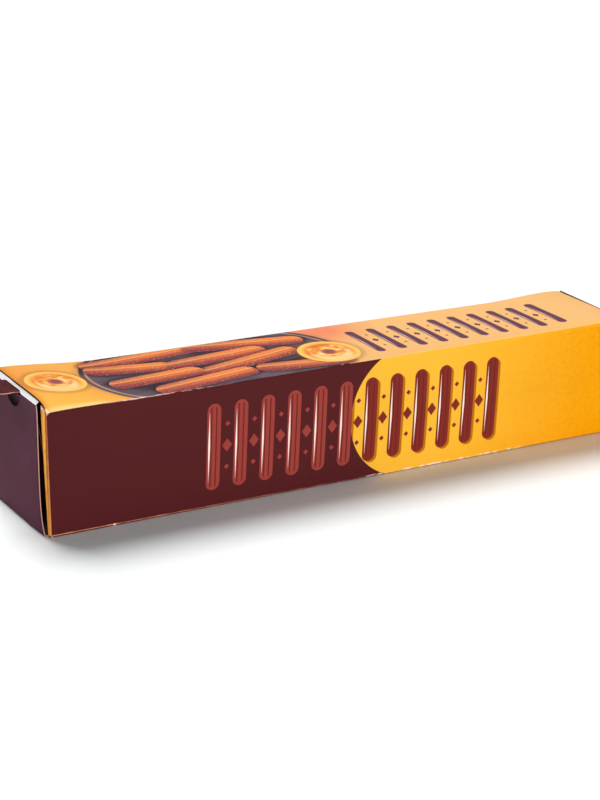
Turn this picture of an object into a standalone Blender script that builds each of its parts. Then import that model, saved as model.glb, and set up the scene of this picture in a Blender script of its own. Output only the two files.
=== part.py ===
"""Shut folding carton for fried pastry sticks, made of one die-cut board blank.

Metres, +Z up. X runs along the carton, the front panel faces -Y, and the origin is
the middle of the bounding box at the bottom. The carton is shut, so its body is one
solid. At each end a closure panel stands on the bottom fold, folds over at the top and
tucks in under the top panel. The closure at -X stands loose and shows its thumb tab;
the one at +X is pushed home.
"""

import math

import bmesh
import bpy

# Body
LENGTH = 0.262            # end edge to end edge of the four long panels
DEPTH = 0.046             # front panel to back panel
HEIGHT = 0.050            # bottom panel to top panel
BOARD = 0.0005            # thickness of the board
FOLD_RADIUS = 0.0010      # outer radius of the four long folds

# The long top panel isn't quite flat
FRONT_DROP = 0.0017       # the front fold is lower by this at the loose end
BACK_RISE = 0.0009        # the back fold is higher by this at the loose end
BACK_SAG = 0.0016         # the back fold hangs by this between the two tuck flaps
STIFF_END = 0.040         # length over which a tuck flap holds the panel up
CROWN_RUN = 0.0045        # the panel rises behind its front fold within about this

# Closures
SIDE_GAP = 0.0021         # the closure panel is narrower than the carton, each side
MOUTH_GAP = 0.0050        # the tuck flap is narrower still where it goes in
TUCK_GAP = 0.0004         # between the tuck flap and the top panel
TUCK_LENGTH = 0.014       # how far the tuck flap goes in
ROOT = 0.0015             # how far each flap runs into the body that it is part of
LOOSE_TOP = 0.0039        # reach of the loose closure's top fold beyond the body
LOOSE_BOTTOM = 0.0007     # and of its bottom fold
LOOSE_FOLD_Z = HEIGHT + BACK_RISE
TIGHT_TOP = 0.0010
TIGHT_BOTTOM = 0.00097
TIGHT_FOLD_Z = HEIGHT - BOARD - TUCK_GAP + 0.0002
HEEL = 0.13               # share of the panel's height in which it bends out of its bottom fold
HEEL_SHARE = 0.58         # share of the reach that it gains there

# Thumb tab of the loose closure
TAB_RADIUS = 0.0069
TAB_DROOP = math.radians(15)
TAB_ROOT = 0.00025        # the tab runs this far into the top fold
TAB_STEP = 0.0002         # and leaves it this far below its top
HOLE_LIP = 2 * BOARD      # board left between the top fold and the hole

# Fineness of the mesh
STATIONS = 24             # along the body
TOP_STEPS = 16            # across the top panel
ARC_STEPS = 4             # round each long fold
CLOSURE_STEPS = 10        # up a closure panel
FLAP_STEPS = 12           # across a flap
TAB_STEPS = 18            # round the thumb tab

TAB_REACH = LOOSE_TOP + TAB_RADIUS * math.cos(TAB_DROOP)
LOOSE_END = (TAB_REACH - LENGTH - TIGHT_TOP) / 2    # x of the body's end at -X
TIGHT_END = LOOSE_END + LENGTH                      # x of the body's end at +X


def clear_scene():
    for item in list(bpy.data.objects):
        bpy.data.objects.remove(item, do_unlink=True)


def add_object(name, mesh_data):
    """Put a bmesh into the scene as a named object."""
    bmesh.ops.recalc_face_normals(mesh_data, faces=mesh_data.faces)
    mesh = bpy.data.meshes.new(name)
    mesh_data.to_mesh(mesh)
    mesh_data.free()
    item = bpy.data.objects.new(name, mesh)
    bpy.context.scene.collection.objects.link(item)
    return item


def hide_guide(item):
    item.hide_render = True
    item.display_type = "WIRE"


def smooth_step(value):
    value = min(max(value, 0.0), 1.0)
    return value * value * (3 - 2 * value)


def top_height(x, y):
    """Height of the top panel's outer face."""
    from_loose = x - LOOSE_END
    to_end = min(from_loose, TIGHT_END - x)
    front = HEIGHT - FRONT_DROP * (1 - from_loose / LENGTH)
    back = HEIGHT + BACK_RISE * (1 - smooth_step(from_loose / STIFF_END))
    back -= BACK_SAG * smooth_step(to_end / STIFF_END)
    behind_fold = max(y + DEPTH / 2, 0.0)
    return front + (back - front) * (1 - math.exp(-behind_fold / CROWN_RUN))


def body_outline():
    """Rounded rectangle of the body's cross-section, as (y, z) points in order."""
    half = DEPTH / 2
    corners = (
        (-half + FOLD_RADIUS, FOLD_RADIUS, 180),
        (half - FOLD_RADIUS, FOLD_RADIUS, 270),
        (half - FOLD_RADIUS, HEIGHT - FOLD_RADIUS, 0),
        (-half + FOLD_RADIUS, HEIGHT - FOLD_RADIUS, 90),
    )
    points = []
    for number, (y, z, start) in enumerate(corners):
        for step in range(ARC_STEPS + 1):
            angle = math.radians(start + 90 * step / ARC_STEPS)
            points.append((y + FOLD_RADIUS * math.cos(angle), z + FOLD_RADIUS * math.sin(angle)))
        if number == 2:
            width = DEPTH - 2 * FOLD_RADIUS
            for step in range(1, TOP_STEPS):
                points.append((y - width * step / TOP_STEPS, HEIGHT))
    return points


def build_body():
    """The four long panels, closed at the ends: a loft of the cross-section along X."""
    shape = bmesh.new()
    outline = body_outline()
    rings = []
    for station in range(STATIONS + 1):
        x = LOOSE_END + LENGTH * station / STATIONS
        ring = []
        for y, z in outline:
            ring.append(shape.verts.new((x, y, z * top_height(x, y) / HEIGHT)))
        rings.append(ring)
    for ring, following in zip(rings, rings[1:]):
        for place in range(len(outline)):
            after = (place + 1) % len(outline)
            shape.faces.new((ring[place], ring[after], following[after], following[place]))
    shape.faces.new(rings[0])
    shape.faces.new(rings[-1])
    return add_object("carton", shape)


def closure_profile(y, end, out, reach_top, reach_bottom, fold_z):
    """One closure at y, from its bottom root to its tuck root, as pairs of (x, z) points.

    The first of a pair is on the outer face of the board, the second on its inner face.
    """
    lift = BOARD / 30
    inward = -out * BOARD
    mouth_z = top_height(end, y) - BOARD - TUCK_GAP
    root_x = end - out * ROOT
    fold_x = end + out * reach_bottom
    pairs = [((root_x, lift), (root_x, BOARD)), ((fold_x, lift), (fold_x + inward, BOARD))]
    for step in range(1, CLOSURE_STEPS):
        up = step / CLOSURE_STEPS
        gained = HEEL_SHARE * (1 - math.exp(-up / HEEL)) + (1 - HEEL_SHARE) * up
        panel_x = end + out * (reach_bottom + (reach_top - reach_bottom) * gained)
        pairs.append(((panel_x, fold_z * up), (panel_x + inward, fold_z * up)))
    fold_x = end + out * reach_top
    pairs.append(((fold_x, fold_z), (fold_x + inward, fold_z - BOARD)))
    pairs.append(((end, mouth_z), (end, mouth_z - BOARD)))
    pairs.append(((root_x, mouth_z - lift), (root_x, mouth_z - BOARD)))
    return pairs


def build_closure(name, end, out, reach_top, reach_bottom, fold_z):
    """Closure panel and the mouth of its tuck flap, as one bent sheet of board."""
    shape = bmesh.new()
    outer_rows = []
    inner_rows = []
    for step in range(FLAP_STEPS + 1):
        side = 2 * step / FLAP_STEPS - 1
        wide = side * (DEPTH / 2 - SIDE_GAP)
        narrow = side * (DEPTH / 2 - MOUTH_GAP)
        pairs = closure_profile(narrow, end, out, reach_top, reach_bottom, fold_z)
        outer = []
        inner = []
        for place, (face, back) in enumerate(pairs):
            y = narrow if place >= len(pairs) - 2 else wide
            outer.append(shape.verts.new((face[0], y, face[1])))
            inner.append(shape.verts.new((back[0], y, back[1])))
        outer_rows.append(outer)
        inner_rows.append(inner)
    last = len(outer_rows[0]) - 1
    for rows in (outer_rows, inner_rows):
        for row, following in zip(rows, rows[1:]):
            for place in range(last):
                shape.faces.new((row[place], row[place + 1], following[place + 1], following[place]))
    for step in range(FLAP_STEPS):
        for place in (0, last):
            shape.faces.new((outer_rows[step][place], outer_rows[step + 1][place],
                             inner_rows[step + 1][place], inner_rows[step][place]))
    for row in (0, FLAP_STEPS):
        for place in range(last):
            shape.faces.new((outer_rows[row][place], outer_rows[row][place + 1],
                             inner_rows[row][place + 1], inner_rows[row][place]))
    sheet = add_object(name, shape)
    hide_guide(sheet)
    return sheet


def build_tuck_slot(name, end, out):
    """Cutter for the thin gap between the tuck flap and the top panel."""
    shape = bmesh.new()
    start = end + out * BOARD / 2
    finish = end - out * TUCK_LENGTH
    rings = []
    for step in range(FLAP_STEPS + 1):
        y = (2 * step / FLAP_STEPS - 1) * (DEPTH / 2 - MOUTH_GAP + TUCK_GAP)
        ring = []
        for x, below in ((start, BOARD), (finish, BOARD), (finish, BOARD + TUCK_GAP), (start, BOARD + TUCK_GAP)):
            body_x = min(max(x, LOOSE_END), TIGHT_END)
            ring.append(shape.verts.new((x, y, top_height(body_x, y) - below)))
        rings.append(ring)
    for ring, following in zip(rings, rings[1:]):
        for place in range(4):
            after = (place + 1) % 4
            shape.faces.new((ring[place], ring[after], following[after], following[place]))
    shape.faces.new(rings[0])
    shape.faces.new(rings[-1])
    slot = add_object(name, shape)
    hide_guide(slot)
    return slot


def half_disc(shape, radius, root):
    """Half disc in the plane z = 0, its round side towards -X and a short root behind it."""
    rim = [shape.verts.new((root, radius, 0)), shape.verts.new((root, -radius, 0))]
    for step in range(TAB_STEPS + 1):
        angle = math.pi * step / TAB_STEPS - math.pi / 2
        rim.append(shape.verts.new((-radius * math.cos(angle), radius * math.sin(angle), 0)))
    return shape.faces.new(rim)


def build_thumb_tab(name):
    """Thumb tab: it stays in the tuck flap's plane, so it sticks out past the top fold."""
    shape = bmesh.new()
    face = half_disc(shape, TAB_RADIUS, TAB_ROOT)
    grown = bmesh.ops.extrude_face_region(shape, geom=[face])
    for corner in grown["geom"]:
        if isinstance(corner, bmesh.types.BMVert):
            corner.co.z -= BOARD
    tab = add_object(name, shape)
    tab.location = (LOOSE_END - LOOSE_TOP, 0, LOOSE_FOLD_Z - TAB_STEP)
    tab.rotation_euler = (0, -TAB_DROOP, 0)
    hide_guide(tab)
    return tab


def build_thumb_hole(name):
    """Cutter for the half-round hole that the thumb tab leaves in the closure panel."""
    shape = bmesh.new()
    face = half_disc(shape, TAB_RADIUS, 0)
    grown = bmesh.ops.extrude_face_region(shape, geom=[face])
    for corner in grown["geom"]:
        if isinstance(corner, bmesh.types.BMVert):
            corner.co.z += LOOSE_TOP / 2
    hole = add_object(name, shape)
    hole.location = (LOOSE_END - LOOSE_TOP * 1.2, 0, LOOSE_FOLD_Z - HOLE_LIP)
    hole.rotation_euler = (math.pi, -math.pi / 2, 0)
    hide_guide(hole)
    return hole


def combine(body, other, operation):
    step = body.modifiers.new(other.name, "BOOLEAN")
    step.operation = operation
    step.solver = "EXACT"
    step.object = other


def printed_board():
    material = bpy.data.materials.new("printed_board")
    material.use_nodes = True
    shader = material.node_tree.nodes["Principled BSDF"]
    shader.inputs["Base Color"].default_value = (0.90, 0.42, 0.06, 1)
    shader.inputs["Roughness"].default_value = 0.45
    shader.inputs["Metallic"].default_value = 0.0
    return material


clear_scene()
carton = build_body()
carton.data.materials.append(printed_board())
combine(carton, build_closure(
    "guide_loose_closure", LOOSE_END, -1, LOOSE_TOP, LOOSE_BOTTOM, LOOSE_FOLD_Z), "UNION")
combine(carton, build_closure(
    "guide_tight_closure", TIGHT_END, 1, TIGHT_TOP, TIGHT_BOTTOM, TIGHT_FOLD_Z), "UNION")
combine(carton, build_thumb_tab("guide_thumb_tab"), "UNION")
combine(carton, build_tuck_slot("cutter_loose_slot", LOOSE_END, -1), "DIFFERENCE")
combine(carton, build_tuck_slot("cutter_tight_slot", TIGHT_END, 1), "DIFFERENCE")
combine(carton, build_thumb_hole("cutter_thumb_hole"), "DIFFERENCE")
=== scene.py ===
import math

import bmesh
import bpy
import numpy as np
from mathutils import Matrix, Vector, geometry


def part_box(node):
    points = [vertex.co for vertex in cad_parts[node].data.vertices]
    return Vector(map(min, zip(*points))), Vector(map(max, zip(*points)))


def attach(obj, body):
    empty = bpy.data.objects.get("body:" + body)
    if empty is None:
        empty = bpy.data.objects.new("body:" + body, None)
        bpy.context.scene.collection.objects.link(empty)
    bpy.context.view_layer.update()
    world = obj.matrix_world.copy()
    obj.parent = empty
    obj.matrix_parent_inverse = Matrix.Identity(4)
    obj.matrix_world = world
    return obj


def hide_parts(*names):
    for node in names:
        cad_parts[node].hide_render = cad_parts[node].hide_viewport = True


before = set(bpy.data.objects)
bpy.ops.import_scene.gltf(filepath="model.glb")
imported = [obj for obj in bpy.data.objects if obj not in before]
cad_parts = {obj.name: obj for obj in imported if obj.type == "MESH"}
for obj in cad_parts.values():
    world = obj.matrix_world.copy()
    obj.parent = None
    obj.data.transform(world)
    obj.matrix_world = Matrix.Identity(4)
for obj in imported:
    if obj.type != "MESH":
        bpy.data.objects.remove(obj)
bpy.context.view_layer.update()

# ------------------------------------------------------------------------------------------
# The camera. A long lens stands off the loose closure's end of the front, a little above
# the carton, and it isn't quite level. All lengths below are in millimetres, counted along
# the carton from its loose end, back from its front panel and up from its bottom panel.
carton_low, carton_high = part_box("carton")
carton_length = 262.0
tight_reach = 1.0
loose_end = carton_high.x - (carton_length + tight_reach) / 1000


def in_place(along, back, up):
    """The point of the shared frame for a place measured on the carton."""
    return Vector((loose_end + along / 1000, carton_low.y + back / 1000, carton_low.z + up / 1000))


camera_turn = math.radians(-32.012)
camera_rise = math.radians(19.699)
camera_roll = math.radians(2.531)
towards_carton = Vector((
    -math.sin(camera_turn) * math.cos(camera_rise),
    math.cos(camera_turn) * math.cos(camera_rise),
    -math.sin(camera_rise),
))
level_right = towards_carton.cross(Vector((0, 0, 1))).normalized()
level_up = level_right.cross(towards_carton)
camera_right = math.cos(camera_roll) * level_right + math.sin(camera_roll) * level_up
camera_up = math.cos(camera_roll) * level_up - math.sin(camera_roll) * level_right
camera_axes = Matrix((camera_right, camera_up, -towards_carton)).transposed().to_4x4()
camera = bpy.data.objects.new("camera", bpy.data.cameras.new("camera"))
camera.data.lens = 90.19
camera.data.sensor_width = 36.0
camera.matrix_world = Matrix.Translation(in_place(-275.15, -606.35, 293.45)) @ camera_axes
bpy.context.collection.objects.link(camera)
bpy.context.scene.camera = camera

# ------------------------------------------------------------------------------------------
# The four long panels. One sheet of coated board half a millimetre thick is creased and
# folded round into a square tube. The glue lap on the back panel is stuck inside the bottom
# panel. The board is light, so the panels bow, and the top one lies over the tuck flaps.
board = 0.5
carton_depth = 46.0
carton_height = 50.0
fold_radius = 0.9
lap_radius = 0.8
lap_width = 12.0
half_fold = fold_radius * math.pi / 4
front_width = carton_height - 2 * fold_radius + 2 * half_fold
top_width = carton_depth - 2 * fold_radius + 2 * half_fold


def smooth_step(share):
    """Rises from 0 to 1 with no corner at either end."""
    share = min(max(share, 0.0), 1.0)
    return share * share * (3 - 2 * share)


def top_height(along, back):
    """Height of the top panel: its front fold pulls it down, and a tuck flap pushes it up."""
    along = min(max(along, 0.0), carton_length)
    to_end = min(along, carton_length - along)
    at_front = carton_height - 1.7 * (1 - along / carton_length)
    at_front += 0.8 * (1 - math.exp(-along / 9.0)) * math.exp(-along / 22.0)
    at_back = carton_height + 0.9 * (1 - smooth_step(along / 40)) - 1.6 * smooth_step(to_end / 40)
    at_back -= 0.9 * math.exp((along - carton_length) / 5.0)
    return at_front + (at_back - at_front) * (1 - math.exp(-max(back, 0.0) / 3.0))


def settled(along, back, up):
    """Where a place on the square carton ends up on the real one, which leans and bows."""
    share_up = up / carton_height
    share_back = back / carton_depth
    near_loose = 1 - smooth_step(along / 70)
    lean = 1.15 - 2.1 * share_up - 0.5 * share_back * (1 - share_up)
    lean += share_up * (0.45 * (1 - math.exp(-max(back, 0.0) / 2.5)) + 0.45 * share_back)
    held = smooth_step(along / 45) * smooth_step((carton_length - along) / 45)
    bow = 4 * share_up * (1 - share_up) * held
    ripple = 0.10 * math.sin(along / 21.0 + 0.6 * share_up) + 0.06 * math.sin(along / 9.3 + 2.0)
    outward = (0.35 + ripple) * bow
    back += outward * (2 * share_back - 1) - 0.3 * near_loose * (1 - share_back)
    up *= top_height(along, back) / carton_height
    return Vector((along + lean * near_loose, back, up))


def straight(start, end, steps):
    return [start + (end - start) * step / steps for step in range(steps + 1)]


def girth(along):
    """Strips round the printed face: panel, then place, facing and distance on it at both sides."""
    strips = []
    top_radius = fold_radius + 0.8 * smooth_step((along - 110) / 110)
    top_half = top_radius * math.pi / 4

    def run(panel, first, last, facing, first_across, steps):
        first = Vector(first)
        last = Vector(last)
        places = straight(first, last, steps)
        for one, other in zip(places, places[1:]):
            start = first_across + (one - first).length
            strips.append((panel, one, other, facing, facing, start, start + (other - one).length))

    def turn(panel, centre, radius, start_angle, first_across, steps):
        places = []
        for angle in straight(start_angle, start_angle - math.pi / 4, steps):
            facing = Vector((math.cos(angle), math.sin(angle)))
            places.append((Vector(centre) + radius * facing, facing))
        width = radius * math.pi / 4 / steps
        for step, (one, other) in enumerate(zip(places, places[1:])):
            start = first_across + step * width
            strips.append((panel, one[0], other[0], one[1], other[1], start, start + width))

    low = fold_radius
    far = carton_depth - fold_radius
    high = carton_height - fold_radius
    lap_up = board + 0.05
    down, out, upward, rear = (Vector(way) for way in ((0, -1), (-1, 0), (0, 1), (1, 0)))
    run("bottom", (carton_depth - 0.25, 0), (low, 0), down, 0.0, 16)
    turn("bottom", (low, low), fold_radius, -math.pi / 2, far, 4)
    turn("front", (low, low), fold_radius, -3 * math.pi / 4, 0.0, 4)
    soft = top_radius
    crest = carton_height - soft
    run("front", (0, low), (0, crest), out, half_fold, 26)
    turn("front", (soft, crest), soft, -math.pi, half_fold + crest - low, 5)
    turn("top", (soft, crest), soft, -5 * math.pi / 4, 0.0, 5)
    run("top", (soft, carton_height), (11, carton_height), upward, top_half, 16)
    run("top", (11, carton_height), (far, carton_height), upward, top_half + 11 - soft, 18)
    turn("top", (far, high), fold_radius, -3 * math.pi / 2, top_half + far - soft, 4)
    turn("back", (far, high), fold_radius, -7 * math.pi / 4, 0.0, 4)
    run("back", (carton_depth, high), (carton_depth, lap_up + lap_radius), rear, half_fold, 24)
    back_end = half_fold + high - lap_up - lap_radius
    turn("back", (carton_depth - lap_radius, lap_up + lap_radius), lap_radius, 0, back_end, 4)
    turn("lap", (carton_depth - lap_radius, lap_up + lap_radius), lap_radius, -math.pi / 4, 0, 4)
    run("lap", (carton_depth - lap_radius, lap_up), (carton_depth - lap_width, lap_up), down, 0.6, 5)
    return strips


def stations():
    """Places along the carton, closer together at its ends."""
    near_end = [0.0, 0.5, 1.2, 2.2, 3.5, 5.0]
    middle = straight(7.0, carton_length - 7.0, 114)
    return near_end + middle + [carton_length - place for place in reversed(near_end)]


def make_piece(name, points, faces, face_finishes, face_places, finishes):
    """One piece of board with its sheet measures, riding with the carton that it stands for."""
    mesh = bpy.data.meshes.new(name)
    mesh.from_pydata([in_place(*point) for point in points], [], faces)
    for finish in finishes:
        mesh.materials.append(finish)
    mesh.polygons.foreach_set("material_index", face_finishes)
    measures = mesh.uv_layers.new(name="sheet")
    measures.data.foreach_set("uv", [value for face in face_places for place in face for value in place])
    shape = bmesh.new()
    shape.from_mesh(mesh)
    bmesh.ops.remove_doubles(shape, verts=shape.verts, dist=1e-7)
    shape.to_mesh(mesh)
    shape.free()
    mesh.polygons.foreach_set("use_smooth", [True] * len(mesh.polygons))
    mesh.set_sharp_from_angle(angle=math.radians(38))
    piece = bpy.data.objects.new(name, mesh)
    bpy.context.collection.objects.link(piece)
    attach(piece, "root")
    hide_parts("carton")
    return piece


class Measure:
    """A length or a share that varies over the board, as a shader works it out."""

    def __init__(self, tree, socket):
        self.tree = tree
        self.socket = socket

    def worked(self, operation, *others, kept=False):
        node = self.tree.nodes.new("ShaderNodeMath")
        node.operation = operation
        node.use_clamp = kept
        self.tree.links.new(self.socket, node.inputs[0])
        for place, other in enumerate(others, start=1):
            if isinstance(other, Measure):
                self.tree.links.new(other.socket, node.inputs[place])
            else:
                node.inputs[place].default_value = other
        return Measure(self.tree, node.outputs[0])

    def __add__(self, other):
        return self.worked("ADD", other)

    def __sub__(self, other):
        return self.worked("SUBTRACT", other)

    def __mul__(self, other):
        return self.worked("MULTIPLY", other)

    def __truediv__(self, other):
        return self.worked("DIVIDE", other)

    def without(self, other):
        """What is left of a mask outside another mask."""
        return self.worked("SUBTRACT", other, kept=True)

    def least(self, other):
        return self.worked("MINIMUM", other)

    def most(self, other):
        return self.worked("MAXIMUM", other)

    def size(self):
        return self.worked("ABSOLUTE")

    def power(self, exponent):
        return self.worked("POWER", exponent)

    def wave(self, length, start=0.0):
        """A ripple between -1 and 1 that repeats every length."""
        turned = self.worked("MULTIPLY_ADD", 2 * math.pi / length, start)
        return turned.worked("SINE")

    def from_middle(self, pitch, start):
        """Distance from the middle of the nearest repeat, when repeats begin at start."""
        return (self - start).worked("WRAP", pitch / 2, -pitch / 2)

    def below(self, limit, soft=0.15):
        """A mask that is 1 where the measure is under the limit."""
        under = limit - self if isinstance(limit, Measure) else self.worked("MULTIPLY_ADD", -1.0, limit)
        return under.worked("MULTIPLY_ADD", 1 / soft, 0.5, kept=True)

    def above(self, limit, soft=0.15):
        """A mask that is 1 where the measure is over the limit."""
        return (self - limit).worked("MULTIPLY_ADD", 1 / soft, 0.5, kept=True)


def ink(red, green, blue):
    """A colour from the printer's 0 to 255 values."""
    values = []
    for value in (red, green, blue):
        share = value / 255
        values.append(share / 12.92 if share <= 0.04045 else ((share + 0.055) / 1.055) ** 2.4)
    return (*values, 1.0)


class Finish:
    """A printed or plain finish of the board, put on in the order that it is put on the sheet."""

    def __init__(self, name, ground, roughness, specular=0.3):
        self.material = bpy.data.materials.new(name)
        self.material.use_nodes = True
        self.tree = self.material.node_tree
        self.shader = self.tree.nodes["Principled BSDF"]
        self.shader.inputs["Roughness"].default_value = roughness
        self.shader.inputs["Specular IOR Level"].default_value = specular
        measures = self.tree.nodes.new("ShaderNodeUVMap")
        measures.uv_map = "sheet"
        parts = self.tree.nodes.new("ShaderNodeSeparateXYZ")
        self.tree.links.new(measures.outputs[0], parts.inputs[0])
        self.place = measures.outputs[0]
        self.along = Measure(self.tree, parts.outputs[0])
        self.across = Measure(self.tree, parts.outputs[1])
        self.colour = ground

    def grain(self, pitch, detail=2.0, stretch=(1.0, 1.0), seed=0.0):
        """Cloudy grain about 0.5, with lumps of roughly the given size in millimetres."""
        spread = self.tree.nodes.new("ShaderNodeMapping")
        spread.inputs["Scale"].default_value = (stretch[0] / pitch, stretch[1] / pitch, 1.0)
        spread.inputs["Location"].default_value = (seed, seed * 0.7, seed * 1.3)
        self.tree.links.new(self.place, spread.inputs["Vector"])
        noise = self.tree.nodes.new("ShaderNodeTexNoise")
        noise.inputs["Scale"].default_value = 1.0
        noise.inputs["Detail"].default_value = detail
        self.tree.links.new(spread.outputs[0], noise.inputs["Vector"])
        return Measure(self.tree, noise.outputs["Fac"])

    def lay(self, colour, mask, blend="MIX"):
        """Prints a colour over what is there already, where the mask is 1."""
        mix = self.tree.nodes.new("ShaderNodeMix")
        mix.data_type = "RGBA"
        mix.blend_type = blend
        if isinstance(mask, Measure):
            self.tree.links.new(mask.socket, mix.inputs[0])
        else:
            mix.inputs[0].default_value = mask
        for place, value in ((6, self.colour), (7, colour)):
            if isinstance(value, tuple):
                mix.inputs[place].default_value = value
            else:
                self.tree.links.new(value, mix.inputs[place])
        self.colour = mix.outputs[2]

    def shaded(self, amount):
        """Makes the colour lighter or darker by a measure about 1."""
        scale = self.tree.nodes.new("ShaderNodeVectorMath")
        scale.operation = "SCALE"
        if isinstance(self.colour, tuple):
            scale.inputs[0].default_value = self.colour[:3]
        else:
            self.tree.links.new(self.colour, scale.inputs[0])
        self.tree.links.new(amount.socket, scale.inputs["Scale"])
        self.colour = scale.outputs[0]

    def rough(self, amount):
        self.tree.links.new(amount.socket, self.shader.inputs["Roughness"])

    def raised(self, height, strength, distance):
        bump = self.tree.nodes.new("ShaderNodeBump")
        bump.inputs["Strength"].default_value = strength
        bump.inputs["Distance"].default_value = distance / 1000
        self.tree.links.new(height.socket, bump.inputs["Height"])
        self.tree.links.new(bump.outputs[0], self.shader.inputs["Normal"])

    def done(self):
        if isinstance(self.colour, tuple):
            self.shader.inputs["Base Color"].default_value = self.colour
        else:
            self.tree.links.new(self.colour, self.shader.inputs["Base Color"])
        return self.material


def stick(aside, lengthways, half_width, half_length):
    """Distance outside the edge of an upright stick with round ends, below 0 inside it."""
    past_end = (lengthways.size() - (half_length - half_width)).most(0.0)
    return (aside * aside + past_end * past_end).worked("SQRT") - half_width


def frieze(finish, across, start, end, middle, pitch, half_width, half_length):
    """A row of ridged pastry sticks with lozenges between them, as masks for each ink."""
    in_row = finish.along.above(start).least(finish.along.below(end))
    up = across - middle
    aside = finish.along.from_middle(pitch, start + pitch / 2)
    body = stick(aside, up, half_width, half_length)
    between = finish.along.from_middle(pitch, start)
    lozenge = between.size() * 1.3 + up.size()
    small = between.size() + (up.size() - half_length * 0.5).size()
    inside_row = finish.along.above(start + pitch / 2).least(finish.along.below(end - pitch / 2))
    marks = lozenge.below(half_width * 0.95).most(small.below(half_width * 0.38)) * inside_row
    sticks = body.below(0.0) * in_row
    ridge = (aside.size() - half_width * 0.36).size().below(0.28, 0.3) * body.below(-1.1, 0.5) * in_row
    shine_width = (up.size() * (-0.42 / (half_length - 3)) + 0.42).most(0.0)
    shine = (aside + half_width * 0.66).size().below(shine_width, 0.2) * body.below(-0.6) * in_row
    shine = shine * up.size().below(half_length - 3.4, 0.6)
    return sticks, marks, ridge, shine


def speckle(finish, strength):
    """The fine uneven dots of the ink and the faint cloudiness of a large solid."""
    dots = finish.grain(0.45, 2.0)
    clouds = finish.grain(38.0, 2.0, seed=5.0)
    finish.shaded(dots * strength + clouds * 0.10 + (0.95 - strength / 2))
    fibres = finish.grain(1.6, 3.0, seed=9.0)
    finish.raised(fibres + dots * 0.3, 0.25, 0.05)


def print_long_side(name, turned_round):
    """Maroon with a yellow round running into a yellow half, and the row of sticks across both."""
    side = Finish(name, ink(80, 29, 31), 0.5, specular=0.04)
    if turned_round:
        side.along = side.along * -1.0 + carton_length
        side.across = side.across * -1.0 + front_width
    along = side.along
    up = side.across
    from_round = ((along - 155) * (along - 155) + (up - 26) * (up - 26)).worked("SQRT")
    yellow = from_round.below(27.7).most(along.above(155))
    side.lay(ink(239, 178, 52), yellow)
    side.lay(ink(233, 154, 0), yellow * along.above(207, 75))
    mottles = side.grain(1.5, 4.0, seed=8.0)
    side.lay(ink(214, 128, 4), mottles.above(0.58, 0.20) * yellow * along.above(215, 60) * 0.35)
    from_top_fold = up * -1.0 + front_width
    # Painted highlight: the yellow is lightened within about two millimetres of the top fold, where the rounded
    # crease takes less light
    side.lay(ink(255, 194, 66), from_top_fold.below(0.8, 2.0) * yellow * 0.6)
    row = dict(start=61.0, end=200.0, middle=24.8, pitch=139 / 12, half_width=2.9, half_length=17.6)
    sticks, marks, ridge, shine = frieze(side, up, **row)
    shadow_aside = (along - 1.1).from_middle(139 / 12, 61.0 + 139 / 24)
    shadow = stick(shadow_aside, up - 24.0, 2.9, 17.6).below(0.0, 0.4)
    shadow = shadow * along.above(62).least(along.below(201)) * yellow
    side.lay(ink(178, 104, 12), shadow)
    raised_ink = sticks.most(marks)
    side.lay(ink(149, 60, 53), raised_ink)
    side.lay(ink(124, 42, 34), raised_ink * yellow)
    side.lay(ink(104, 34, 30), ridge)
    side.lay(ink(250, 226, 214), shine)

    # The yellow underneath shows along the bottom fold, where the maroon was printed too high
    unsteady = side.grain(5.0, 3.0, seed=2.0)
    line_up = along * -0.0025 + 0.78
    line_width = (along * -0.0010 + 0.22 + (unsteady - 0.5) * 0.5).most(0.0)
    line = (up - line_up).size().below(line_width, 0.3).without(yellow)
    side.lay(ink(226, 146, 108), line * (along.below(50, 100) * 0.45 + 0.4))

    # Worn folds, where the ink has cracked off the white board, and painted shade along the bottom fold
    cracks = side.grain(2.2, 4.0, stretch=(0.6, 1.0), seed=4.0)
    top_crack = (from_top_fold - cracks * 0.7 + 0.12).below(0.0, 0.2) * cracks.above(0.45, 0.12)
    side.lay(ink(240, 200, 186), top_crack * along.above(26, 8).least(along.below(58, 40)) * 0.9)
    bottom_wear = (up - 0.4 - cracks * 0.8).below(0.0, 0.4) * cracks.above(0.52, 0.1)
    side.lay(ink(250, 222, 205), bottom_wear * along.above(138, 8).least(along.below(212, 10)))
    # Painted shade: a dark brown line along the bottom fold at the yellow end, for the fold's underside in shade
    side.lay(ink(120, 78, 50), up.below(0.5, 0.5) * along.above(205, 30) * 0.7)
    to_end = along.least(along * -1.0 + carton_length)
    side.lay(ink(176, 98, 78), (to_end - cracks * 0.5 + 0.18).below(0.0, 0.25) * 0.7)
    worn_corner = to_end + from_top_fold * 1.3 + (cracks - 0.5) * 2.4
    side.lay(ink(240, 200, 184), worn_corner.below(1.2, 0.5))
    low_corner = to_end + up * 1.3 + (cracks - 0.5) * 2.4
    side.lay(ink(232, 176, 148), low_corner.below(1.0, 0.5) * 0.8)
    chip = (((along - 25.5) * (along - 25.5)) + ((up - 0.5) * (up - 0.5))).worked("SQRT")
    side.lay(ink(246, 214, 196), chip.below(0.55, 0.3))
    # Painted light: the colour is lightened by up to a fifth towards the bottom fold, where less light reaches, and
    # darkened a little at the maroon end
    side.shaded(up.below(12, 26) * 0.20 - along.below(14, 30) * 0.10 + 1.0)
    speckle(side, 0.10)
    return side.done()


def place_on(finish, centre, turn):
    """Distances along and across a picture that is turned on the panel."""
    aside = finish.along - centre[0]
    away = finish.across - centre[1]
    lengthways = aside * math.cos(turn) + away * math.sin(turn)
    crossways = away * math.cos(turn) - aside * math.sin(turn)
    return lengthways, crossways


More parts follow.
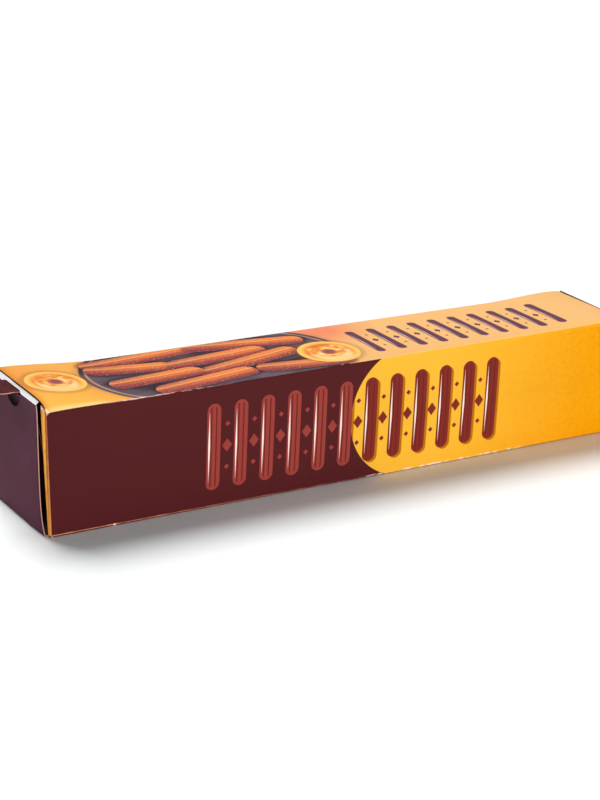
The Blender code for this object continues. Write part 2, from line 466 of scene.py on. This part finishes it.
def print_top():
    """A slate with sugared sticks and rings on a warm ground, then a small row of sticks."""
    top = Finish("printed_top", ink(240, 184, 118), 0.5, specular=0.05)
    along = top.along
    back = top.across
    warm = top.grain(30.0, 2.0, stretch=(1.0, 0.5), seed=1.0)
    top.lay(ink(243, 172, 84), along.below(96, 90))
    top.lay(ink(236, 158, 72), back.above(14, 12) * along.below(14, 16) * 0.5)
    top.lay(ink(246, 179, 74), back.below(13, 10) * along.below(40, 26) * 0.8)
    # Painted highlight: a pale cream band along the front fold near the loose end
    top.lay(ink(255, 213, 142), back.below(1.3, 1.8) * along.below(24, 5) * 0.8)
    # Painted shade: darker orange within a couple of millimetres of the loose end's edge
    top.lay(ink(206, 122, 30), (along - back * 0.03).below(1.2, 2.4) * 0.6)
    # Painted highlight: a lighter yellow band along the front fold towards the tight end, where the rounded crease
    # takes less light
    top.lay(ink(252, 190, 84), back.below(1.5, 3.0) * along.above(150, 30) * 0.6)
    top.lay(ink(236, 150, 62), warm.above(0.52, 0.25) * along.below(70, 60) * 0.6)
    blush_along, blush_across = place_on(top, (136, 42), 0.0)
    from_blush = (blush_along * blush_along + blush_across * blush_across * 2.0).worked("SQRT")
    top.lay(ink(238, 128, 100), (from_blush + (warm - 0.5) * 16).below(17, 22) * 0.8)
    plate_lengthways = (along - 80) / 55
    plate_across = (back - 22) / 39
    from_plate = (plate_lengthways * plate_lengthways + plate_across * plate_across).worked("SQRT")
    top.lay(ink(196, 128, 92), from_plate.below(1.035, 0.06) * 0.5)
    plate = from_plate.below(1.0, 0.008)
    top.lay(ink(84, 71, 80), plate)
    cloudy = top.grain(13.0, 3.0, stretch=(0.6, 1.0), seed=12.0)
    top.lay(ink(52, 40, 50), cloudy.below(0.47, 0.22) * plate * 0.7)
    top.lay(ink(122, 102, 112), cloudy.above(0.55, 0.22) * plate * 0.5)
    top.lay(ink(206, 150, 116), (from_plate - 0.955).size().below(0.008, 0.012))

    lay = (
        ((56, 40), 6, 26), ((101, 39), -9, 25), ((47, 30), -10, 18), ((84, 29), 6, 22),
        ((93, 20), 14, 25), ((52, 17), 5, 20), ((68, 7), 10, 23), ((111, 8), -8, 20),
    )
    crossways = along * 0.0
    covered = along * 0.0
    for centre, turn, half_length in lay:
        lengthways, aside = place_on(top, centre, math.radians(turn))
        outside = stick(aside, lengthways, 4.9, half_length)
        here = outside.below(0.0, 0.3)
        top.lay(ink(36, 26, 40), (outside - 1.2).below(0.0, 2.8) * 0.75)
        top.lay(ink(234, 126, 64), here)
        top.lay(ink(150, 66, 74), (lengthways + half_length * 0.3).below(0.0, half_length * 1.1) * here * 0.75)
        crossways = crossways * (here * -1.0 + 1.0) + aside * here
        covered = covered.most(here)
    top.lay(ink(118, 50, 66), crossways.below(-1.6, 3.6) * covered * 0.9)
    top.lay(ink(255, 184, 108), (crossways - 2.3).size().below(0.7, 1.8) * covered * 0.8)
    grooves = crossways.wave(2.1).above(0.45, 0.8) * crossways.size().below(4.4, 0.6)
    top.lay(ink(156, 66, 58), grooves * covered * 0.55)
    sugar = top.grain(0.75, 2.0, seed=7.0)
    top.lay(ink(255, 214, 176), sugar.above(0.66, 0.10) * covered * 0.6)

    for centre, size in (((14, 24), 11.5), ((127, 17), 12.5)):
        lengthways, aside = place_on(top, centre, 0.0)
        from_centre = (lengthways * lengthways + aside * aside).worked("SQRT")
        here = from_centre.below(size, 0.4)
        top.lay(ink(120, 72, 58), (from_centre - 1.5).below(size, 3.0) * 0.45)
        top.lay(ink(255, 196, 98), here)
        rim = (from_centre - size * 0.62).size()
        top.lay(ink(238, 138, 60), rim.below(size * 0.20, 1.6) * here * 0.85)
        glaze = top.grain(3.4, 4.0, stretch=(0.7, 1.0), seed=13.0)
        top.lay(ink(206, 104, 52), glaze.above(0.55, 0.08) * from_centre.below(size * 0.74, 0.8) * 0.7)
        top.lay(ink(255, 216, 150), glaze.below(0.43, 0.06) * from_centre.below(size * 0.70, 0.8) * 0.8)
        top.lay(ink(255, 214, 150), (rim + aside * 0.25).below(0.4, 1.4) * here * 0.8)
        top.lay(ink(196, 110, 84), from_centre.below(size * 0.26, 0.5))
        top.lay(ink(120, 76, 84), from_centre.below(size * 0.17, 1.2) * 0.8)

    row = dict(start=142.0, end=242.0, middle=22.0, pitch=10.0, half_width=2.0, half_length=13.5)
    sticks, marks, ridge, shine = frieze(top, back, **row)
    top.lay(ink(112, 72, 88), sticks.most(marks))
    top.lay(ink(86, 50, 66), ridge)
    top.lay(ink(242, 205, 190), shine)

    cracks = top.grain(2.2, 4.0, stretch=(0.6, 1.0), seed=4.0)
    front_crack = (back - cracks * 0.5 + 0.12).below(0.0, 0.2) * cracks.above(0.45, 0.12)
    top.lay(ink(250, 214, 198), front_crack * along.above(24, 6).least(along.below(58, 40)) * 0.9)
    # Painted shade: the last half millimetre at the loose end's edge is darkened
    top.lay(ink(150, 84, 24), along.below(0.35, 0.5) * 0.7)
    top.lay(ink(255, 224, 172), (along * 0.75 + back * 0.7 + (cracks - 0.5) * 1.6).below(1.3, 0.6) * 0.9)
    speckle(top, 0.08)
    return top.done()


def print_bottom():
    """A plain field of the yellow, scuffed where it slides on the counter, with painted shade along its front fold.
    """
    bottom = Finish("printed_bottom", ink(246, 176, 52), 0.5)
    from_front = bottom.across * -1.0 + top_width
    # Painted shade: a dark brown line along the front fold, for the fold's underside in shade
    bottom.lay(ink(88, 46, 38), from_front.below(1.1, 0.4) * bottom.along.below(200, 60))
    scuffs = bottom.grain(3.0, 4.0, stretch=(0.25, 1.0), seed=6.0)
    bottom.lay(ink(236, 206, 158), scuffs.above(0.62, 0.10) * 0.6)
    speckle(bottom, 0.08)
    return bottom.done()


def bare_board(name, ground, roughness, specular=0.1):
    """Board with nothing printed on it."""
    bare = Finish(name, ground, roughness, specular)
    speckle(bare, 0.12)
    return bare.done()


printed_front = print_long_side("printed_front", turned_round=False)
printed_back = print_long_side("printed_back", turned_round=True)
printed_top = print_top()
printed_bottom = print_bottom()
grey_inside = bare_board("grey_inside", ink(150, 136, 128), 0.8)


def cut_edge():
    """The board's cut edge: pale in its middle, with ink rubbed over both sides of it."""
    edge = Finish("raw_board_edge", ink(200, 158, 146), 0.85, specular=0.05)
    edge.lay(ink(84, 44, 40), (edge.across - board * 0.4).size().above(board * 0.28, 0.14))
    speckle(edge, 0.12)
    return edge.done()


raw_edge = cut_edge()
# Painted shade: this near-black finish on the cut edges stands for edges and gaps that lie in shade
shade_edge_finish = bare_board("board_edge_painted_shade", ink(50, 22, 6), 0.9, specular=0.0)
panel_finishes = [printed_bottom, printed_front, printed_top, printed_back, grey_inside, shade_edge_finish]
panel_order = ["bottom", "front", "top", "back", "lap"]


def long_panels():
    places = stations()
    rings = [girth(along) for along in places]
    round_count = len(rings[0]) + 1
    points = []
    for skin in (0.0, board):
        for along, strips in zip(places, rings):
            line = [(strip[1], strip[3]) for strip in strips]
            line.append((strips[-1][2], strips[-1][4]))
            for place, facing in line:
                inward = place - facing * skin
                points.append(settled(along, inward.x, inward.y))
    skin_start = len(places) * round_count
    faces = []
    finishes = []
    measures = []
    for row, (near, far) in enumerate(zip(places, places[1:])):
        for column, (near_strip, far_strip) in enumerate(zip(rings[row], rings[row + 1])):
            panel, start, end = near_strip[0], near_strip[5], near_strip[6]
            far_start, far_end = far_strip[5], far_strip[6]
            corner = row * round_count + column
            face = (corner, corner + 1, corner + round_count + 1, corner + round_count)
            faces.append(face)
            finishes.append(panel_order.index(panel))
            measures.append(((near, start), (near, end), (far, far_end), (far, far_start)))
            faces.append(tuple(skin_start + index for index in reversed(face)))
            finishes.append(4)
            measures.append(((far, far_start), (far, far_end), (near, end), (near, start)))
    rim = [row * round_count for row in range(len(places))]
    rim_end = [index + round_count - 1 for index in rim]
    loose_rim = list(range(round_count))
    tight_rim = [index + rim[-1] for index in loose_rim]
    for line in (list(reversed(rim)), rim_end, loose_rim, list(reversed(tight_rim))):
        for one, other in zip(line, line[1:]):
            faces.append((other, one, skin_start + one, skin_start + other))
            finishes.append(5)
            start = Vector(points[one]).length
            measures.append(((start, 0), (start + 1, 0), (start + 1, board), (start, board)))
    return make_piece("long_panels", points, faces, finishes, measures, panel_finishes)


long_panels()

# ------------------------------------------------------------------------------------------
# The two closures. Each is hinged on the bottom panel: a printed panel that stands across
# the end and a plain white tuck flap pushed in under the top panel. The one at the loose end
# has sprung open a little, and its half-round thumb tab stands out over the hole it left.
side_gap = 2.1
mouth_gaps = {1: 4.0, -1: 8.0}
tuck_length = 14.0
tab_middle = 22.5
tab_radius = 6.9


def in_outline(place, outline):
    """Whether a place on the flat sheet is inside a closed line on it."""
    inside = False
    for (one_x, one_y), (other_x, other_y) in zip(outline, outline[1:] + outline[:1]):
        if (one_y > place[1]) != (other_y > place[1]):
            if place[0] < one_x + (place[1] - one_y) / (other_y - one_y) * (other_x - one_x):
                inside = not inside
    return inside


def divided(corners, step):
    """A closed line with points no further apart than the step."""
    line = []
    for one, other in zip(corners, corners[1:] + corners[:1]):
        pieces = max(1, math.ceil(math.dist(one, other) / step))
        for piece in range(pieces):
            share = piece / pieces
            line.append((one[0] + (other[0] - one[0]) * share, one[1] + (other[1] - one[1]) * share))
    return line


def cut_flat(outline, holes, rows, columns):
    """A flat sheet cut to an outline with holes: its places and its triangles."""
    places = []
    cuts = []
    for line in (outline, *holes):
        first = len(places)
        places += line
        cuts += [(first + step, first + (step + 1) % len(line)) for step in range(len(line))]
    edge_places = np.array(places)
    for up in rows:
        for across in columns:
            if not in_outline((across, up), outline):
                continue
            if any(in_outline((across, up), hole) for hole in holes):
                continue
            if np.hypot(edge_places[:, 0] - across, edge_places[:, 1] - up).min() > 0.3:
                places.append((across, up))
    flat, _, faces, _, _, _ = geometry.delaunay_2d_cdt([Vector(place) for place in places], cuts, [], 0, 1e-5)
    kept = []
    for face in faces:
        middle = sum((flat[index] for index in face), Vector((0, 0))) / len(face)
        if in_outline(middle, outline) and not any(in_outline(middle, hole) for hole in holes):
            kept.append(tuple(face))
    return [tuple(place) for place in flat], kept


def fold_up(flat, faces, bend, printed_side, which_finish, joined=None, edge_finish=None):
    """Bends a flat sheet and gives it its thickness: points, faces, finishes and measures."""
    points = []
    inner = []
    for across, up in flat:
        middle = bend(across, up)
        sideways = bend(across + 0.02, up) - bend(across - 0.02, up)
        upwards = bend(across, up + 0.02) - bend(across, up - 0.02)
        facing = sideways.cross(upwards).normalized() * printed_side
        points.append(middle)
        inner.append(middle - facing * board)
    count = len(points)
    edges = {}
    new_faces = []
    finishes = []
    measures = []
    for face in faces:
        loop = face if printed_side > 0 else tuple(reversed(face))
        for one, other in zip(loop, loop[1:] + loop[:1]):
            edges[(one, other)] = True
        middle = sum((Vector(flat[index]) for index in face), Vector((0, 0))) / len(face)
        new_faces.append(loop)
        finishes.append(which_finish(middle))
        measures.append([flat[index] for index in loop])
        new_faces.append(tuple(index + count for index in reversed(loop)))
        finishes.append(2)
        measures.append([flat[index] for index in reversed(loop)])
    for one, other in edges:
        if (other, one) in edges:
            continue
        if joined and joined(flat[one]) and joined(flat[other]):
            continue
        new_faces.append((other, one, one + count, other + count))
        finishes.append(edge_finish(flat[one]) if edge_finish else 3)
        start = flat[one][0] + flat[one][1]
        measures.append(((start + 1, 0), (start, 0), (start, board), (start + 1, board)))
    return points + inner, new_faces, finishes, measures


def joined_up(*sheets):
    """Sheets of one blank put together into one set of points and faces."""
    points = []
    faces = []
    finishes = []
    measures = []
    for sheet_points, sheet_faces, sheet_finishes, sheet_measures in sheets:
        shift = len(points)
        points += sheet_points
        faces += [tuple(index + shift for index in face) for face in sheet_faces]
        finishes += sheet_finishes
        measures += sheet_measures
    return points, faces, finishes, measures


def creased(corners, crest, softness):
    """A bent line through the corners, rounded where creased, measured from its crest corner."""
    line = np.array(corners, float)
    lengths = np.concatenate(([0], np.cumsum(np.hypot(*np.diff(line, axis=0).T))))
    fine = np.arange(0.0, lengths[-1], 0.05)
    path = np.stack([np.interp(fine, lengths, line[:, axis]) for axis in (0, 1)], axis=1)
    width = max(1, round(softness / 0.05))
    window = np.ones(width) / width
    for _ in range(2):
        reach = np.pad(path, ((width, width), (0, 0)), mode="reflect", reflect_type="odd")
        path = np.stack([np.convolve(reach[:, axis], window, "same") for axis in (0, 1)], axis=1)
        path = path[width:-width]
    return fine, path, lengths[crest]


crest_up = 52.0
closure_paths = {}


def loose_corners(across):
    """The sprung closure's line from its hinge up its panel and in along its tuck flap."""
    sprung = 0.75 * (1 - math.exp(-max(across - side_gap, 0) / 6.0))
    corners = [(settled(0.0, across, 0.0).x, 0.0), (-0.35 - 0.6 * sprung, 0.0)]
    for up in (0.6, 2, 4, 6, 9, 12, 16, 20, 25, 30, 35, 40, 45, 48):
        share = up / carton_height
        reach = 0.5 + 3.2 * (0.54 * (1 - math.exp(-share / 0.14)) + 0.46 * share)
        corners.append((-reach - sprung * (1 - share) ** 2, up))
    corners.append((-3.95, carton_height + 1.0))
    mouth_slack = 0.5 - 0.3 * smooth_step((across - 26) / 8)
    corners.append((0.6, top_height(0.0, across) - board - mouth_slack))
    corners.append((0.6 + tuck_length, min(top_height(14.0, across), 50.0) - board - 0.8))
    return corners


def tight_corners(across):
    """The closure that is pushed home: straight up the end, then in under the top panel."""
    under_top = top_height(carton_length, across) - board - 0.35
    share_back = across / carton_depth
    crest = 49.1 + 0.5 * share_back
    return [
        (carton_length, 0.0),
        (carton_length + tight_reach, 0.0),
        (carton_length + tight_reach, crest - 1.6),
        (carton_length + 0.5 + 0.35 * share_back, crest),
        (carton_length - 1.0, under_top),
        (carton_length - tuck_length, under_top - 0.4),
    ]


def closure_place(corners, across, up):
    """Where a place on the flat closure comes once its creases are folded."""
    key = (corners, round(across, 2))
    if key not in closure_paths:
        line = corners(across)
        closure_paths[key] = creased(line, len(line) - 3, 0.55)
    lengths, path, crest = closure_paths[key]
    length = up * crest / crest_up if up < crest_up else crest + up - crest_up
    along = float(np.interp(length, lengths, path[:, 0]))
    height = float(np.interp(length, lengths, path[:, 1]))
    return Vector((along, across, height))


def loose_place(across, up):
    """The tuck flap is pulled up a little where the thumb tab stands out from it."""
    place = closure_place(loose_corners, across, up)
    aside = abs(across - tab_middle)
    if up > crest_up - 0.5:
        lift = 1.1 * smooth_step((7.8 - aside) / 1.8) * smooth_step((up - crest_up + 0.5) / 0.8)
        place.z += lift * math.exp(-(max(up - slit_end, 0.0) / 2.0) ** 2)
    return place


def tight_place(across, up):
    return closure_place(tight_corners, across, up)


slit_end = crest_up + 0.2
root_half = 6.2


def tab_place(across, up):
    """The thumb tab carries straight on from the tuck flap and droops towards its tip."""
    out = max(slit_end - up, 0.0)
    root = loose_place(across, slit_end)
    inward = loose_place(across, slit_end + 0.6)
    if up >= slit_end:
        return loose_place(across, up)
    rise = math.atan2(root.z - inward.z, inward.x - root.x)
    place = root.copy()
    steps = max(1, math.ceil(out / 0.25))
    for step in range(steps):
        gone = out * (step + 0.5) / steps
        droop = rise + (math.radians(-14) - rise) * smooth_step(gone / 2.0) - math.radians(1.5) * gone
        place.x -= math.cos(droop) * out / steps
        place.z += math.sin(droop) * out / steps
    return place


def half_round(radius, steps):
    """The thumb tab's cut: from the tuck flap over the crease, round, and back to the flap."""
    line = []
    for step in range(steps + 1):
        angle = -math.pi * step / steps
        line.append((tab_middle + radius * math.cos(angle), crest_up + radius * 0.97 * math.sin(angle)))
    for side, ends in ((1, (3, 2, 1)), (-1, (1, 2, 3))):
        share = [end / 3 for end in ends]
        narrowed = [tab_middle + side * (radius - (radius - root_half) * part ** 1.6) for part in share]
        slit = [(across, crest_up + part * (slit_end - crest_up)) for across, part in zip(narrowed, share)]
        line = slit + line if side > 0 else line + slit
    return line


def closure_outline(far_gap):
    """The closure's outline when it is flat: a panel, then a narrower flap with round corners."""
    crest = crest_up
    flap_end = crest_up + 4.1 + tuck_length
    near = side_gap
    far = carton_depth - far_gap
    line = [(near, 0.0), (far, 0.0), (far, crest), (carton_depth - mouth_gaps[1], crest + 4.1)]
    for side, turns in ((1, range(0, 7)), (-1, range(6, -1, -1))):
        middle = (carton_depth / 2 + side * (carton_depth / 2 - mouth_gaps[side] - 5), flap_end - 5)
        for turn_step in turns:
            angle = math.radians(15 * turn_step)
            line.append((middle[0] + side * 5 * math.cos(angle), middle[1] + 5 * math.sin(angle)))
    line += [(mouth_gaps[-1], crest + 4.1), (near, crest)]
    return divided(line, 1.2)


def print_closure():
    """The closure's maroon, with a purple cast and patches of painted sheen, darker towards its bottom, its top and
    its front edge.
    """
    # Painted reflection: the maroon ink is given the purple cast of its sheen
    closure = Finish("closure_print_and_sheen", ink(81, 33, 52), 0.45, specular=0.03)
    from_front = closure.along
    up = closure.across
    sheen_patches = closure.grain(17.0, 2.0, seed=11.0)
    # Painted sheen: lighter purple patches towards the front, and darker patches all over
    closure.lay(ink(92, 42, 68), sheen_patches.above(0.5, 0.3) * from_front.below(20, 18) * 0.5)
    closure.lay(ink(66, 30, 42), sheen_patches.below(0.46, 0.3) * 0.4)
    closure.lay(ink(68, 30, 46), up.below(8, 12) * 0.5)
    closure.lay(ink(62, 24, 36), up.above(34, 14) * 0.45)
    closure.lay(ink(70, 25, 25), from_front.below(side_gap + 1.2, 1.6) * 0.8)
    speckle(closure, 0.08)
    return closure.done()


closure_rows = straight(0.0, 2.8, 14) + straight(4.0, 49.4, 34) + straight(50.2, 54.2, 24) + straight(55.0, 69.0, 11)
closure_columns = straight(2.1, 43.9, 32)
closure_print_and_sheen = print_closure()
white_flap = bare_board("white_tuck_flap", ink(234, 231, 235), 0.5)


def print_tab():
    """The thumb tab's maroon, rubbed darker in patches, with painted shade along its drooping tip."""
    tab = Finish("printed_thumb_tab", ink(86, 34, 36), 0.5, specular=0.04)
    rubbed = tab.grain(5.0, 3.0, seed=14.0)
    tab.lay(ink(58, 18, 18), rubbed.above(0.5, 0.2) * 0.6)
    # Painted shade along the drooping tip
    tab.lay(ink(50, 10, 10), tab.across.below(crest_up - 5.0, 1.4) * 0.7)
    speckle(tab, 0.10)
    return tab.done()


def paint_crest_shade():
    """The pushed-home closure's crease, painted near black as shade, paler towards the front."""
    crest = Finish("crest_in_painted_shade", ink(50, 22, 6), 0.9, specular=0.0)
    crest.lay(ink(176, 132, 98), crest.along.below(16, 30) * 0.8)
    speckle(crest, 0.12)
    return crest.done()


closure_finishes = [closure_print_and_sheen, white_flap, grey_inside, raw_edge, shade_edge_finish, print_tab(), paint_crest_shade()]


def panel_or_flap(place):
    return 0 if place.y < crest_up else 1


def tab_print(place):
    return 5 if place.y < slit_end else 1


def loose_closure():
    outline = closure_outline(side_gap)
    slit = half_round(tab_radius, 28)
    chord = straight(slit[-1][0], slit[0][0], 10)[1:-1]
    hole = slit + [(across, slit_end) for across in chord]
    flat, faces = cut_flat(outline, [hole], closure_rows, closure_columns)

    def on_chord(place):
        return abs(place[1] - slit_end) < 1e-4 and abs(place[0] - tab_middle) < root_half + 1e-3

    # The hole's cut edges take the dark edge finish, which is painted shade
    def edge_finish(place):
        in_hole = abs(place[0] - tab_middle) < tab_radius + 0.1 and crest_up - 7.5 < place[1] < slit_end + 0.1
        return 4 if in_hole else 3

    panel = fold_up(flat, faces, loose_place, -1, panel_or_flap, on_chord, edge_finish)
    tab_rows = straight(crest_up - 6.6, slit_end - 0.3, 14)
    tab_columns = straight(tab_middle - tab_radius + 0.7, tab_middle + tab_radius - 0.7, 12)
    flat, faces = cut_flat(hole, [], tab_rows, tab_columns)
    tab = fold_up(flat, faces, tab_place, -1, tab_print, joined=on_chord)
    return make_piece("loose_closure", *joined_up(panel, tab), closure_finishes)


def tight_closure():
    cut = [(across, up) for across, up in half_round(tab_radius, 28) if up < crest_up - 0.7]
    inner = [(tab_middle + (across - tab_middle) * 0.965, crest_up + (up - crest_up) * 0.965) for across, up in cut]
    flat, faces = cut_flat(closure_outline(0.9), [cut + inner[::-1]], closure_rows, closure_columns)
    
    # The band along the crease takes the crest finish, which is painted shade
    def crest_painted_dark(place):
        if place.y < crest_up - 0.4:
            return 0
        return 6 if place.y < crest_up + 0.9 else 1

    panel = fold_up(flat, faces, tight_place, 1, crest_painted_dark)
    return make_piece("tight_closure", *panel, closure_finishes)


loose_closure()
tight_closure()

# ------------------------------------------------------------------------------------------
# Four dust flaps. They are hinged on the ends of the front and back panels and folded in
# behind the closures. Those on the front are printed; the loose end's one has been pushed
# in, so it curves away into the dark, and its top corner has lost its print, with the bare
# patch painted lighter than the top panel's shade would leave it.
flap_length = 21.0
flap_radius = 0.5
flap_low = 0.8
flap_high = 48.3


def flap_bend(out, up, fold_low, fold_high, bend_low, bend_high, bent_by):
    """How far a place on a dust flap stands outside its panel's end, and how far across it."""
    share_up = up / flap_high
    folded = math.radians(fold_low + (fold_high - fold_low) * share_up)
    bend_start = bend_low + (bend_high - bend_low) * share_up
    heading = 0.0
    beyond = 0.0
    across = 0.0
    steps = max(1, math.ceil(abs(out) / 0.2))
    for step in range(steps):
        gone = out * (step + 0.5) / steps
        turned = min(max(gone, 0.0) / flap_radius, folded)
        bent = math.radians(bent_by) * smooth_step((gone - bend_start) / 1.3)
        heading = turned + bent
        beyond += math.cos(heading) * out / steps
        across += math.sin(heading) * out / steps
    return beyond, across


def print_dust_flap():
    """Yellow run over from the panel beside it, cracked along the crease, with painted shade beside the crease and
    towards the bottom, and worn print at the top corner painted lighter as a highlight.
    """
    flap = Finish("printed_dust_flap", ink(255, 180, 80), 0.5, specular=0.05)
    patches = flap.grain(4.0, 3.0, stretch=(2.0, 1.0), seed=3.0)
    # Painted shade: dark brown beside the crease, out to an uneven line
    rubbed = flap.along - (patches - 0.5) * 0.6 - flap.across.below(31, 14) * 0.5
    near_crease = rubbed.below(0.85, 0.6)
    flap.lay(ink(112, 48, 0), near_crease * 0.9)
    flap.lay(ink(206, 134, 52), patches.above(0.60, 0.10) * 0.5)
    cracks = flap.grain(1.5, 4.0, seed=4.0)
    flap.lay(ink(186, 112, 84), (flap.along - cracks * 0.4).below(0.0, 0.2) * 0.8)
    # Painted shade: darker towards the bottom
    flap.lay(ink(224, 150, 70), flap.across.below(20, 30) * 0.7)
    # Worn print at the top corner, painted lighter as a highlight against the top panel's shade
    worn_out = flap.along - 3.1
    worn_up = flap.across - 50.0
    worn_lit_corner = (worn_out * worn_out + worn_up * worn_up).worked("SQRT") + (patches - 0.5) * 0.8
    flap.lay(ink(255, 244, 230), worn_lit_corner.below(1.1, 0.4))
    speckle(flap, 0.10)
    return flap.done()


printed_dust_flap = print_dust_flap()


def dust_flap(name, at_loose_end, on_front, finish, length, bending, top_line):
    def bend(out, up):
        beyond, across = flap_bend(out, up, *bending)
        along = -beyond if at_loose_end else carton_length + beyond
        back = across if on_front else carton_depth - across
        return settled(along, back, up)

    outline = [(0, flap_low), (length - 6, flap_low + 1.5), (length - 1, flap_low + 5)]
    outline += [(length, flap_low + 9), (length, flap_high - 9), (length - 1, flap_high - 5), *top_line]
    columns = straight(0.0, 1.2, 8) + straight(1.4, 5.0, 18) + straight(5.8, length - 0.4, 16)
    flat, faces = cut_flat(divided(outline, 1.0), [], straight(1.4, 47.6, 32), columns)
    side = -1 if at_loose_end == on_front else 1
    shape = fold_up(flat, faces, bend, side, lambda place: 0)
    return make_piece(name, *shape, [finish, finish, grey_inside, raw_edge])


square = (96, 96, 90, 90, 0)
square_top = [(flap_length - 6, flap_high - 1.0), (2.0, flap_high), (0, flap_high + 0.4)]
pushed_in = (76, 76, 1.1, 3.0, 60)
peaked_top = [(flap_length - 6, 46.8), (5.8, 47.8), (3.5, 50.3), (0, 50.0)]
sprung = (97, 86.5, 24, 24, 6)
long_top = [(32, flap_high - 1.5), (2.0, flap_high), (0, flap_high + 0.4)]
dust_flap("loose_front_dust_flap", True, True, printed_dust_flap, flap_length, pushed_in, peaked_top)
dust_flap("loose_back_dust_flap", True, False, closure_print_and_sheen, 38.0, sprung, long_top)
dust_flap("tight_front_dust_flap", False, True, printed_dust_flap, flap_length, square, square_top)
dust_flap("tight_back_dust_flap", False, False, white_flap, flap_length, square, square_top)

# ------------------------------------------------------------------------------------------
# The studio: a white table, a wide soft light from above and behind, and a lower one from
# the camera's side, so that the carton's shadow falls forward of it.
def white_table():
    mesh = bpy.data.meshes.new("white_table")
    reach = 4.0
    low = carton_low.z - 0.00005
    corners = [(-reach, -reach, low), (reach, -reach, low), (reach, reach * 2, low), (-reach, reach * 2, low)]
    mesh.from_pydata(corners, [], [(0, 1, 2, 3)])
    table = bpy.data.objects.new("white_table", mesh)
    bpy.context.collection.objects.link(table)
    finish = bpy.data.materials.new("white_table_top")
    finish.use_nodes = True
    shader = finish.node_tree.nodes["Principled BSDF"]
    shader.inputs["Base Color"].default_value = (0.91, 0.925, 0.925, 1.0)
    shader.inputs["Roughness"].default_value = 0.9
    shader.inputs["Specular IOR Level"].default_value = 0.0
    mesh.materials.append(finish)


def sun(name, strength, spread, azimuth, elevation, colour):
    light = bpy.data.lights.new(name, "SUN")
    light.energy = strength
    light.angle = math.radians(spread)
    light.color = colour
    lamp = bpy.data.objects.new(name, light)
    turn = math.radians(azimuth)
    rise = math.radians(elevation)
    away = Vector((
        math.sin(turn) * math.cos(rise),
        -math.cos(turn) * math.cos(rise),
        math.sin(rise),
    ))
    lamp.rotation_euler = away.to_track_quat("Z", "Y").to_euler()
    bpy.context.collection.objects.link(lamp)


white_table()
sun("light_behind", 3.2, 30, 186, 62, (1.0, 1.0, 1.0))
sun("light_in_front", 1.81, 24, 2, 6, (1.0, 1.0, 1.0))
sun("light_at_loose_end", 1.17, 24, -60, 7, (0.98, 0.98, 1.0))
sky = bpy.data.worlds.new("studio")
sky.use_nodes = True
sky.node_tree.nodes["Background"].inputs["Color"].default_value = (0.92, 1.0, 0.98, 1.0)
sky.node_tree.nodes["Background"].inputs["Strength"].default_value = 0.17
bpy.context.scene.world = sky
bpy.context.scene.view_settings.view_transform = "Standard"
